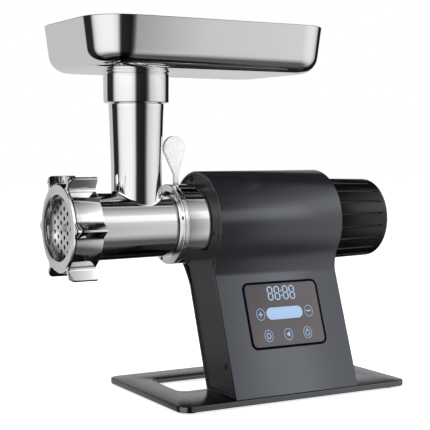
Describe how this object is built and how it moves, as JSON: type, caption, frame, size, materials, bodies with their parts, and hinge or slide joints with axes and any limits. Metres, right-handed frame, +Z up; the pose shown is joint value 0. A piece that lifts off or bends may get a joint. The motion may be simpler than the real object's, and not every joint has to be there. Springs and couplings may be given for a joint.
{
  "type": "electric meat grinder",
  "caption": "Countertop meat grinder: geared motor in a leaning metal housing on a flat base, removable steel head with auger, knife, perforated plate, ring nut and feed tray.",
  "frame": {"origin": "on the surface the feet stand on, below the middle of the whole machine's length and width", "axes": "+X along the barrel towards the motor cap, so the outlet faces -X; -Y is the control-panel side; +Z up"},
  "size_m": [0.3546, 0.166, 0.3625],
  "materials": {
    "base_steel": "satin brushed",
    "rubber_foot": "matt",
    "screw_steel": "zinc plated",
    "housing_paint": "satin metallic slate",
    "black_plate": "satin black",
    "black_screw": "black oxide",
    "panel_trim": "gloss black",
    "panel_face": "smoked touch panel",
    "circuit_board": "green laminate",
    "black_plastic": "fine texture",
    "cast_metal": "as cast",
    "can_steel": "drawn",
    "magnet": "sintered",
    "bronze": "turned",
    "gear_steel": "machined",
    "cap_plastic": "satin black",
    "polished_steel": "mirror polished",
    "knife_steel": "ground",
    "plate_steel": "ground",
    "lever_plastic": "milky translucent"
  },
  "bodies": {
    "base": {"base_plate": "base_steel", "rubber_feet": "rubber_foot", "base_screws": "screw_steel", "housing_shell": "housing_paint", "front_end_plate": "black_plate", "rear_end_plate": "black_plate", "front_plate_screws": "black_screw", "rear_plate_screws": "black_screw", "panel_bezel": "panel_trim", "panel_glass": "panel_face", "control_board": "circuit_board", "power_inlet": "black_plastic", "motor_adapter": "cast_metal", "motor_can": "can_steel", "stator_magnets": "magnet", "motor_bearings": "bronze", "gearbox_cover": "cast_metal", "output_bearing": "bronze", "ring_gear": "gear_steel", "motor_cap": "cap_plastic", "head_collar": "polished_steel"},
    "rotor": {"motor_armature": "can_steel", "cooling_fan": "black_plastic", "sun_a": "gear_steel"},
    "first_carrier": {"carrier_a": "gear_steel", "sun_b": "gear_steel"},
    "drive": {"output_shaft": "gear_steel"},
    "head": {"head_barrel": "polished_steel", "feed_tube": "polished_steel", "auger_bush": "bronze", "plate_key": "gear_steel"},
    "auger": {"auger": "polished_steel", "auger_stud": "gear_steel", "knife": "knife_steel"},
    "plate": {"grinding_plate": "plate_steel"},
    "nut": {"ring_nut": "polished_steel"},
    "hopper": {"hopper_tray": "polished_steel", "hopper_neck": "polished_steel"},
    "lever": {"locking_lever": "lever_plastic", "lever_screw": "screw_steel"},
    "planet_a_1": {"planet_a_1": "gear_steel"},
    "planet_a_2": {"planet_a_2": "gear_steel"},
    "planet_a_3": {"planet_a_3": "gear_steel"},
    "planet_b_1": {"planet_b_1": "gear_steel"},
    "planet_b_2": {"planet_b_2": "gear_steel"},
    "planet_b_3": {"planet_b_3": "gear_steel"}
  },
  "joints": [
    {"name": "drive_spin", "type": "hinge", "parent": "base", "child": "drive", "pos_m": [-0.02035, 0, 0.1705], "axis": [1, 0, 0], "continuous": true},
    {"name": "first_carrier_spin", "type": "hinge", "parent": "base", "child": "first_carrier", "pos_m": [0.01265, 0, 0.1705], "axis": [1, 0, 0], "continuous": true},
    {"name": "rotor_spin", "type": "hinge", "parent": "base", "child": "rotor", "pos_m": [0.08965, 0, 0.1705], "axis": [1, 0, 0], "continuous": true},
    {"name": "planet_a_1_spin", "type": "hinge", "parent": "first_carrier", "child": "planet_a_1", "pos_m": [0.02465, -0.01875, 0.1705], "axis": [1, 0, 0], "continuous": true},
    {"name": "planet_a_2_spin", "type": "hinge", "parent": "first_carrier", "child": "planet_a_2", "pos_m": [0.02465, 0.00937, 0.18674], "axis": [1, 0, 0], "continuous": true},
    {"name": "planet_a_3_spin", "type": "hinge", "parent": "first_carrier", "child": "planet_a_3", "pos_m": [0.02465, 0.00937, 0.15426], "axis": [1, 0, 0], "continuous": true},
    {"name": "planet_b_1_spin", "type": "hinge", "parent": "drive", "child": "planet_b_1", "pos_m": [0.00115, -0.01875, 0.1705], "axis": [1, 0, 0], "continuous": true},
    {"name": "planet_b_2_spin", "type": "hinge", "parent": "drive", "child": "planet_b_2", "pos_m": [0.00115, 0.00937, 0.18674], "axis": [1, 0, 0], "continuous": true},
    {"name": "planet_b_3_spin", "type": "hinge", "parent": "drive", "child": "planet_b_3", "pos_m": [0.00115, 0.00937, 0.15426], "axis": [1, 0, 0], "continuous": true},
    {"name": "head_slide", "type": "slide", "parent": "base", "child": "head", "axis": [-1, 0, 0], "range_m": [0, 0.05]},
    {"name": "auger_spin", "type": "hinge", "parent": "head", "child": "auger", "pos_m": [-0.11035, 0, 0.1705], "axis": [1, 0, 0], "continuous": true},
    {"name": "plate_slide", "type": "slide", "parent": "head", "child": "plate", "axis": [-1, 0, 0], "range_m": [0, 0.0121]},
    {"name": "nut_turn", "type": "hinge", "parent": "plate", "child": "nut", "pos_m": [-0.16035, 0, 0.1705], "axis": [-1, 0, 0], "range_deg": [0, 1440]},
    {"name": "hopper_lift", "type": "slide", "parent": "head", "child": "hopper", "axis": [0, 0, 1], "range_m": [0, 0.06]},
    {"name": "lever_turn", "type": "hinge", "parent": "base", "child": "lever", "pos_m": [-0.05335, 0, 0.21], "axis": [0, 0, 1], "range_deg": [0, 360]}
  ],
  "couplings": [
    {"joint": "first_carrier_spin", "follows": "drive_spin", "ratio": 5},
    {"joint": "rotor_spin", "follows": "drive_spin", "ratio": 25},
    {"joint": "planet_a_1_spin", "follows": "drive_spin", "ratio": -13.333},
    {"joint": "planet_a_2_spin", "follows": "drive_spin", "ratio": -13.333},
    {"joint": "planet_a_3_spin", "follows": "drive_spin", "ratio": -13.333},
    {"joint": "planet_b_1_spin", "follows": "drive_spin", "ratio": -2.6667},
    {"joint": "planet_b_2_spin", "follows": "drive_spin", "ratio": -2.6667},
    {"joint": "planet_b_3_spin", "follows": "drive_spin", "ratio": -2.6667},
    {"joint": "auger_spin", "follows": "drive_spin", "ratio": 1},
    {"joint": "plate_slide", "follows": "nut_turn", "m_per_rad": 0.00047746}
  ]
}
